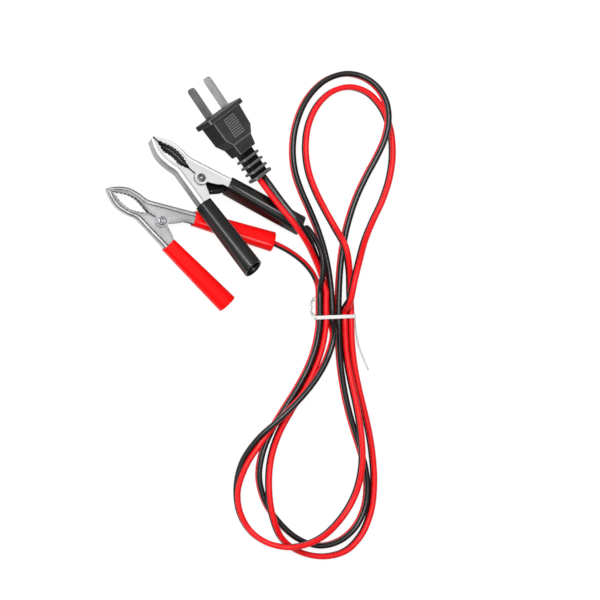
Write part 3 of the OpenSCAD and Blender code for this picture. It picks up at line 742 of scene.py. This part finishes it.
def half_edges():
    """Pairs of points on the inner and the outer edge of a half, from tip to handle end."""
    outer = rounded_path(outer_corners, 3.0, 6)
    inner = [Vector((-nose_l + x, bite_gap, 0)) for x in (0, 1.2, 2.4)]
    for i in range(2 * tooth_count + 1):
        t = 1 - i / (2 * tooth_count)
        y = bite_gap + lens_h * math.sin(math.pi * t)
        if i % 2 == 1 and 1 < i < 2 * tooth_count - 1:
            y -= tooth_h
        inner.append(Vector((lens_start + (lens_end - lens_start) * t, y, 0)))
    inner += [Vector((x, bite_gap, 0)) for x in (-7.4, -6.2, -5.0)]
    inner += [Vector((x, y, 0)) for x, y in arc(0, 0, ear_r, 180, 370, 19) + [
        (5.5, 1.55), (7.2, 2.6), (9.0, 3.8), (10.3, 5.0)]]
    inner += [handle_point(h, handle_reach - handle_w)
              for h in (12.7, *range(15, handle_l + 1, 3))]
    direction = handle_point(1, 0)
    pairs = []
    for p in inner:
        if p.x < -2:
            share = share_at(outer, lambda q: q.x - min(p.x, p.x * 0.98 - 0.2))
        else:
            tilt = min(1.0, (p.x + 2) / 14)
            ahead = Vector((1, 0, 0)).lerp(direction, tilt)
            share = share_at(outer, lambda q: (q - p).dot(ahead))
        pairs.append((p, along_path(outer, share)))
    pairs[0] = (inner[0], Vector((-nose_l, bite_gap + 0.3, 0)))
    return pairs


fold_r, fold_steps = 1.3, 5
rim_w, rim_step, rim_t = 0.8, 0.45, 0.22
# How strongly the side plates inside the rim are painted with shade: on the jaws, and on the
# handles
jaw_shade, handle_shade = 0.8, 0.4


def half_mesh(width):
    """A folded channel: side plate, fold, spine, fold, side plate, at each pair of points.
    The side plates lie a little lower inside a rim along the fold. Its edge marks are painted
    shade near the inner edge, over the sunk plate and in a dark line at the rim's step; its
    spine marks paint the spine darker, as shade."""
    rows, edges, spine = [], [], []
    for inner, outer in half_edges():
        span = (outer - inner).length
        inward = (inner - outer).normalized() if span > 1e-6 else Vector((0, -1, 0))
        r = min(fold_r, span * 0.6)
        left = span - r
        small = min(1, left / 4)
        wear_and_shade = jaw_shade if inner.x < shoulder_x else handle_shade
        rim, step = rim_w * small, (rim_w + rim_step) * small
        row = []
        for along, low, light in (
                (left, 1, 0.75), (left - 0.3 * small, 1, 0.6), (left * 0.62, 1, wear_and_shade - 0.1),
                (step + 0.25 * small, 1, wear_and_shade), (step, 1, 1), (rim, 0.1, 0.6), (rim * 0.6, 0, 0)):
            row.append(outer + inward * (r + along)
                       + Vector((0, 0, width / 2 - low * rim_t * small)))
            edges.append(light * min(1, 2 * small))
        edges += [0] * (fold_steps + 1)
        edges += reversed(edges[-len(row) - fold_steps - 1:])
        flat = [0] * (len(row) + fold_steps - 1)
        spine += flat + [1] * 4 + flat
        for j in range(fold_steps + 1):
            a = math.radians(90 * j / fold_steps)
            row.append(outer + inward * r * (1 - math.sin(a))
                       + Vector((0, 0, width / 2 - r * (1 - math.cos(a)))))
        row += [Vector((p.x, p.y, -p.z)) for p in reversed(row)]
        rows.append(row)
    n = len(rows[0])
    faces = [(i * n + k, i * n + k + 1, (i + 1) * n + k + 1, (i + 1) * n + k)
             for i in range(len(rows) - 1) for k in range(n - 1)]
    return sum(rows, []), faces, edges, spine


def clip_piece(name, colour, verts, faces, body, replaced, material, side=1):
    """A piece from points in its clip's own frame; side is -1 on the moving half."""
    place = clip_frames[colour] @ Matrix.Diagonal((1, side, 1, 1))
    obj = new_mesh(name, [on_table(place @ v) for v in verts], faces)
    obj.data.materials.append(material)
    if replaced:
        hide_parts(*replaced)
    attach(obj, body)
    return obj


def clip_halves(colour):
    """For each half of a clip: its name, its side, its width and the body it rides."""
    return ("fixed", 1, fixed_w, "lead"), ("moving", -1, moving_w, colour + "_clip_jaw")


# On the clips' plates the edge and spine marks are painted shade
clip_steel = metal_material("Clip steel", (0.44, 0.44, 0.45), (0.28, 0.28, 0.29), (0.3, 0.42),
                            streaks=900.0, stretch=6.0, stains=110.0, depth=0.02,
                            marks=[("edge", (0.1, 0.1, 0.1)), ("spine", (0.42, 0.42, 0.42))])
clip_nickel = metal_material("Clip nickel", (0.97, 0.97, 0.97), (0.93, 0.93, 0.93), (0.24, 0.34),
                             streaks=900.0, stretch=6.0, stains=160.0,
                             marks=[("edge", (0.88, 0.88, 0.88)), ("spine", (0.36, 0.36, 0.36))],
                             metallic=0.7)
# Darker copies of the plates' metal, painted shade on the inside of each channel and on the
# sheet's cut edges
shaded_inner_steel = metal_material("Inner steel", (0.36, 0.36, 0.37), (0.2, 0.2, 0.21), (0.35, 0.5),
                             streaks=900.0, stretch=6.0)
shaded_inner_nickel = metal_material("Inner nickel", (0.16, 0.16, 0.165), (0.07, 0.07, 0.072),
                              (0.35, 0.5), streaks=900.0, stretch=6.0)

for colour, material, shaded_inner_material, slot in (
        ("red", clip_steel, shaded_inner_steel, "clip_steel"),
        ("black", clip_nickel, shaded_inner_nickel, "pin_nickel")):
    for half, side, width, body in clip_halves(colour):
        verts, faces, edges, spine = half_mesh(width)
        plate = clip_piece(f"{colour}_{half}_jaw_plate", colour, verts, faces, body,
                           [f"{colour}_clip_{half}_half"], material, side)
        plate.data.materials.append(shaded_inner_material)
        sheet = plate.modifiers.new("Sheet", "SOLIDIFY")
        sheet.thickness = steel_t * mm
        sheet.offset = -1.0
        sheet.use_even_offset = True
        sheet.material_offset = sheet.material_offset_rim = 1
        break_edges(plate, 0.12, 2, 50)
        mark(plate, "edge", edges)
        mark(plate, "spine", spine)

# ---- The rivets ------------------------------------------------------------
# A tubular rivet goes through both halves, and its two ends are rolled over.
rivet_r, rivet_head_r, rivet_bore_r = 1.5, 2.4, 0.9
roll_r, bore_roll_r = 0.35, 0.45
rivet_turns = 40


def lathe(profile):
    turns = [math.tau * k / rivet_turns for k in range(rivet_turns)]
    verts = [Vector((r * math.cos(a), r * math.sin(a), z)) for r, z in profile for a in turns]
    return verts, tube_faces(len(profile), rivet_turns, "open")


half_span = clip_w / 2 + 0.05
head = [(rivet_r, 0.0), (rivet_r, half_span), (rivet_head_r - roll_r - 0.01, half_span)]
head += arc(rivet_head_r - roll_r, half_span + roll_r, roll_r, -90, 90, 8)
head += arc(rivet_bore_r + bore_roll_r, half_span + 2 * roll_r - bore_roll_r, bore_roll_r,
            90, 180, 6)
head += [(rivet_bore_r, 0.0)]
# The rivet's shank, its bore and the undersides of its rolled ends are painted dark, as shade;
# only the tops of the rolls keep the nickel
head_painted_shade = [0 if half_span + 0.3 < z and r > rivet_bore_r + 0.2 else 1 for r, z in head]
rivet_nickel = metal_material("Rivet nickel", (0.26, 0.26, 0.27), (0.16, 0.16, 0.17), (0.2, 0.3),
                              marks=[("dark", (0.03, 0.03, 0.03))])
for colour in ("red", "black"):
    verts, faces = joined([lathe(head), lathe([(r, -z) for r, z in head])])
    rivet = clip_piece(colour + "_rivet", colour, verts, faces, "lead", [colour + "_clip_rivet"],
                       rivet_nickel)
    mark(rivet, "dark", [value for value in head_painted_shade * 2 for k in range(rivet_turns)])

# ---- The springs -----------------------------------------------------------
# Spring wire wound round the rivet between the moving half's plates, with a leg under the
# spine of each handle; the moving leg goes with the moving handle.
spring_wire_r, spring_r, spring_turns = 0.55, 2.9, 2.5
spring_rise = 0.3
spring_leg = 17
spring_leg_side = handle_reach - steel_t - spring_wire_r - 0.15
spring_span = spring_turns * (2 * spring_wire_r + spring_rise)
leg_end = handle_point(spring_leg, spring_leg_side)


def wire_tube(points):
    verts, side, n = [], Vector((0, 0, 1)), 10
    for i, p in enumerate(points):
        t = heading(points, i)
        x = (side - t * side.dot(t)).normalized()
        side, y = x, t.cross(x)
        verts += [p + a * x + b * y for a, b in arc(0, 0, spring_wire_r, 0, 360, n)[:-1]]
    return verts, tube_faces(len(points), n)


coil_steps = 24
coil = []
for i in range(int(spring_turns * coil_steps) + 1):
    w = math.radians(90) - math.tau * i / coil_steps
    coil.append(Vector((spring_r * math.cos(w), spring_r * math.sin(w),
                        spring_span / 2 - spring_span * i / (spring_turns * coil_steps))))
mid = Vector((leg_end.x / 2, (leg_end.y + spring_r) / 2 + 0.2, spring_span / 2))
tip = Vector((leg_end.x, leg_end.y, spring_span / 2))
fixed_leg = smooth_line([tip, mid, coil[0], coil[1]], 6)[:-6]
flip_leg = Matrix.Diagonal((1, -1, -1, 1))
moving_leg = [flip_leg @ p for p in fixed_leg]
spring_steel = metal_material("Spring steel", (0.45, 0.45, 0.46), (0.3, 0.3, 0.31), (0.25, 0.4))
for colour in ("red", "black"):
    verts, faces = wire_tube(fixed_leg + coil)
    clip_piece(colour + "_spring_coil", colour, verts, faces, "lead", [colour + "_clip_spring"],
               spring_steel)
    verts, faces = wire_tube(moving_leg)
    clip_piece(colour + "_spring_leg", colour, verts, faces, colour + "_clip_jaw", [],
               spring_steel)

# ---- The wires' crimps and bare ends ---------------------------------------
# A ring pressed round each wire inside the fixed handle, and the bare strands behind the
# rivet.
for colour in ("red", "black"):
    finish_node(colour + "_clip_wire_crimp", spring_steel)
    finish_node(colour + "_clip_wire_end", copper)

# ---- The sleeves -----------------------------------------------------------
# Soft PVC tube pushed over each handle: flat-sided where the steel fills it, and round at
# its open end, where the wire comes in.
sleeve_t, sleeve_gap, sleeve_end_w, sleeve_l = 0.8, 0.15, 11.2, 47
moving_sleeve_start = 12.2
sleeve_corner = 1.7
corner_points, wide_points, deep_points = 14, 16, 6
crease_at, crease_w, crease_t = 0.24, 0.45, 0.3
crease_in, crease_out = 5, 8
end_slant = 2.8


def rounded_section(w, depth, r):
    """A rounded rectangle with points along its sides: across the sleeve, and in its depth."""
    corners = rounded_corners(w, depth, r, corner_points - 1)
    found = []
    for i, count in enumerate((wide_points, deep_points) * 2):
        corner = corners[i * corner_points:(i + 1) * corner_points]
        (x, y), (u, v) = corner[-1], corners[(i + 1) * corner_points % len(corners)]
        found += corner + [(x + (u - x) * k / count, y + (v - y) * k / count)
                           for k in range(1, count)]
    return found


def sleeve_mesh(start, half_w, creased, slant):
    """A tube in a wall's thickness, creased along the wire that lies in it, and its open end
    cut back by a slant at the top. Its marks are a painted highlight beside the crease and
    round the rim of the open end."""
    near = Vector((handle_w + 2 * sleeve_gap, half_w + 2 * sleeve_gap))
    far = Vector((sleeve_end_w - 2 * sleeve_t, sleeve_end_w - 2 * sleeve_t - 0.2))
    near_middle = handle_reach - handle_w / 2
    far_middle = handle_reach + sleeve_gap + sleeve_t - sleeve_end_w / 2

    def section(h, wall, trim):
        share = (h - start) / sleeve_l
        w, depth = near.lerp(far, share) + Vector((1, 1)) * 2 * (wall - trim)
        middle = near_middle + (far_middle - near_middle) * share
        r = (sleeve_corner + wall - trim) * (1 - share) + (min(w, depth) / 2 - 0.3) * share
        crease = -w / 2 + crease_at * w
        ends = min(1, crease_in * share, crease_out * (1 - share))
        deep = crease_t * ends if creased and wall else 0
        points, lights = [], []
        for x, y in rounded_section(w, depth, r):
            near_crease = math.exp(-((x - crease) / crease_w) ** 2) * (abs(y) > depth / 4)
            back = slant * share ** 6 * (0.5 + y / depth)
            points.append(handle_point(h - back, middle + x,
                                       y - math.copysign(deep * near_crease, y)))
            # A painted highlight along the side of the crease
            beside_it = math.exp(-((x - crease - crease_w) / (0.7 * crease_w)) ** 2)
            lights.append(min(1, 4 * deep) * beside_it * (y > depth / 4))
        return points, lights

    steps = 24
    end = start + sleeve_l
    outside = [(start, 0.25), (start + 0.08, 0.07), (start + 0.3, 0)]
    outside += [(start + sleeve_l * k / steps, 0) for k in range(1, steps)]
    outside += [(end - 0.3, 0), (end - 0.08, 0.07), (end, 0.25)]
    rings = [section(h, sleeve_t, trim) for h, trim in outside]
    # The outer rim of the open end is painted light, as a highlight
    rings[-1] = rings[-1][0], [0.8] * len(rings[-1][1])
    inside = [end - 0.05] + [start + sleeve_l * k / steps for k in range(steps - 1, 0, -1)]
    rings += [section(h, 0, 0) for h in inside + [start + 0.05]]
    points, lights = zip(*rings)
    return sum(points, []), tube_faces(len(rings), len(points[0]), "joined"), sum(lights, [])


# The sleeves' edge marks are painted highlights
red_sleeve = moulded_material("Red sleeve", (0.93, 0.004, 0.004), (0.88, 0.004, 0.004),
                              (0.34, 0.46), 700.0, 0.04, smudges=70.0, specular=0.08,
                              marks=[("edge", (0.95, 0.22, 0.22))])
black_sleeve = moulded_material("Black sleeve", (0.002, 0.002, 0.0022), (0.004, 0.004, 0.0042),
                                (0.26, 0.36), 700.0, 0.03, smudges=70.0, specular=0.45,
                                marks=[("edge", (0.2, 0.2, 0.2))])
for colour, material in (("red", red_sleeve), ("black", black_sleeve)):
    for half, side, width, body in clip_halves(colour):
        moving = side < 0
        verts, faces, edges = sleeve_mesh(
            moving_sleeve_start if moving else fixed_sleeve_start[colour], width, not moving,
            end_slant if moving and colour == "black" else 0)
        sleeve = clip_piece(f"{colour}_{half}_sleeve", colour, verts, faces, body,
                            [f"{colour}_clip_{half}_sleeve"], material, side)
        mark(sleeve, "edge", edges)

# ---- The tie ---------------------------------------------------------------
# A flat paper-covered wire tie: one band round all six passes, its ends twisted together
# at the left, and one end left long at the right.
tie_w, tie_t, tie_gap = 2.2, 0.6, 0.15
bundle_w = (slot_count - 1) * pass_pitch + cord_d + 2 * tie_gap
bundle_h = pair_pitch + cord_d + 2 * tie_gap
band_left = tie_at.x - bundle_w / 2 - tie_t
band_right = tie_at.x + bundle_w / 2 + tie_t
band_corner, band_slant = 1.7, 0.035
twist_turns, twist_spread, twist_lean = 1.6, 0.5, 0.9
tail_w, tail_t, tail_up, tail_side = 1.4, 0.45, 0.5, 0.8


def ribbon(points, wides, w, t, worn_and_shade=1.0, closed=False):
    """A flat band with round edges along the points; wides gives its wide direction. Its
    edges are marked for painted shade.
    """
    verts, edges, n = [], [], 12
    for i, p in enumerate(points):
        if closed:
            along = (points[(i + 1) % len(points)] - points[i - 1]).normalized()
        else:
            along = heading(points, i)
        x = (wides[i] - along * wides[i].dot(along)).normalized()
        y = along.cross(x)
        for k in range(n):
            a = math.tau * k / n
            cx, cy = math.cos(a), math.sin(a)
            verts.append(p + x * (w / 2) * math.copysign(abs(cx) ** 0.6, cx)
                         + y * (t / 2) * math.copysign(abs(cy) ** 0.8, cy))
            edges.append(worn_and_shade * abs(cx) ** 6)
    return verts, tube_faces(len(points), n, "joined" if closed else "capped"), edges


band = [Vector((tie_at.x + x, tie_at.y + x * band_slant, tied_height + z)) for x, z in
        reversed(rounded_corners(bundle_w + tie_t, bundle_h + tie_t, band_corner, 6))]
tie_parts = [ribbon(band, [Vector((0, 1, 0))] * len(band), tie_w, tie_t, worn_and_shade=0.7, closed=True)]


def beside_band(x, points):
    """A smooth line from one side of the band, through points measured from there."""
    return smooth_line([Vector((x + a, tie_at.y + b, z)) for a, b, z in points], 8)


twist = beside_band(band_left, (
    (0.45, 0, 5.6), (-0.9, 0.2, 6.0), (-2.6, 2.2, 6.6), (-3.4, 5.6, 6.9), (-1.8, 9.6, 6.2),
    (-0.4, 10.8, 5.4)))
for phase in (0.0, math.pi):
    strand, wides = [], []
    for i, p in enumerate(twist):
        t = heading(twist, i)
        side, share = right_of(t), i / (len(twist) - 1)
        a = phase + share * math.tau * twist_turns
        up_dir = side.cross(t)
        out = side * math.cos(a) + up_dir * math.sin(a)
        spread = twist_spread * math.sin(math.pi * min(1, share * 4) / 2)
        strand.append(p + out * spread)
        a += twist_lean
        wides.append(side * math.cos(a) + up_dir * math.sin(a))
    tie_parts.append(ribbon(strand, wides, tie_w * 0.8, tie_t * 0.75))

tail = beside_band(band_right, (
    (0.1, 0.3, 3.4), (1.0, -7, 3.0), (2.6, -15, 2.2), (5.4, -22, 1.2), (9.0, -30, 0.8)))
wides = []
for i, p in enumerate(tail):
    t = heading(tail, i)
    wides.append(right_of(t).cross(t) * tail_up + right_of(t) * tail_side)
tie_parts.append(ribbon(tail, wides, tail_w, tail_t))

verts, faces, edges = joined(tie_parts)
tie = new_mesh("paper_tie", [on_table(v) for v in verts], faces)
mark(tie, "edge", edges)
# The tie's edge marks paint the edges of its band darker, as shade
tie_paper = moulded_material("Tie paper", (0.78, 0.78, 0.77), (0.66, 0.66, 0.65), (0.45, 0.6),
                             1800.0, 0.05, smudges=400.0, marks=[("edge", (0.28, 0.28, 0.27))])
tie.data.materials.append(tie_paper)
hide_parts("twist_tie")
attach(tie, "lead")

# ---- The table and the light -----------------------------------------------
# A plain white table that keeps a faint shadow, a sky that is bright above and to the left,
# a long soft lamp on the same side, and a weak card for the black clip's plates to show.
table_glow, glow_share = 1.08, 0.8
sky_from, sky_to, sky_low, sky_high = 0.4, 0.78, 0.08, 1.1
sky_middle = Vector((-0.4, 0.15, 0.9)).normalized()
bpy.context.scene.view_settings.view_transform = "Standard"
floor_mesh = bpy.data.meshes.new("table")
floor_mesh.from_pydata([(-4, -4, 0), (4, -4, 0), (4, 4, 0), (-4, 4, 0)], [], [(0, 1, 2, 3)])
floor = bpy.data.objects.new("table", floor_mesh)
bpy.context.scene.collection.objects.link(floor)
white, tree, shader = new_material("Table white")
shader.inputs["Base Color"].default_value = (0.92, 0.92, 0.92, 1)
shader.inputs["Roughness"].default_value = 0.9
shader.inputs["Specular IOR Level"].default_value = 0.1
plain = add_node(tree, "ShaderNodeEmission",
                 values={"Color": (1, 1, 1, 1), "Strength": table_glow})
rays = add_node(tree, "ShaderNodeLightPath")
seen = add_node(tree, "ShaderNodeMath", {"operation": "ADD"},
                links={0: rays.outputs["Is Camera Ray"], 1: rays.outputs["Is Glossy Ray"]})
share = add_node(tree, "ShaderNodeMath", {"operation": "MULTIPLY", "use_clamp": True},
                 {1: glow_share}, {0: seen.outputs[0]})
surface = add_node(tree, "ShaderNodeMixShader",
                   links={"Fac": share.outputs[0], 1: shader.outputs[0], 2: plain.outputs[0]})
tree.links.new(surface.outputs[0], tree.nodes["Material Output"].inputs["Surface"])
floor.data.materials.append(white)

world = bpy.data.worlds.new("Studio")
bpy.context.scene.world = world
world.use_nodes = True
tree = world.node_tree
sky = tree.nodes["Background"]
sky.inputs["Color"].default_value = (1, 1, 1, 1)
way = add_node(tree, "ShaderNodeTexCoord")
height = add_node(tree, "ShaderNodeVectorMath", {"operation": "DOT_PRODUCT"}, {1: sky_middle},
                  {0: way.outputs["Generated"]})
fall = add_node(tree, "ShaderNodeMapRange", links={"Value": height.outputs["Value"]}, values={
    "From Min": sky_from, "From Max": sky_to, "To Min": sky_low, "To Max": sky_high})
tree.links.new(fall.outputs["Result"], sky.inputs["Strength"])


def soft_light(name, where_at, size, power):
    lamp = bpy.data.lights.new(name, "AREA")
    lamp.shape = "RECTANGLE"
    lamp.size, lamp.size_y = size
    lamp.energy = power
    obj = bpy.data.objects.new(name, lamp)
    obj.location = where_at
    aim = Vector((0.05, -0.05, 0)) - Vector(where_at)
    obj.rotation_euler = aim.to_track_quat("-Z", "Y").to_euler()
    bpy.context.scene.collection.objects.link(obj)


soft_light("Key", (-0.35, 0.15, 1.1), (0.25, 1.0), 9.5)
soft_light("Card", (0.65, 0.8, 0.7), (0.8, 0.8), 1.1)
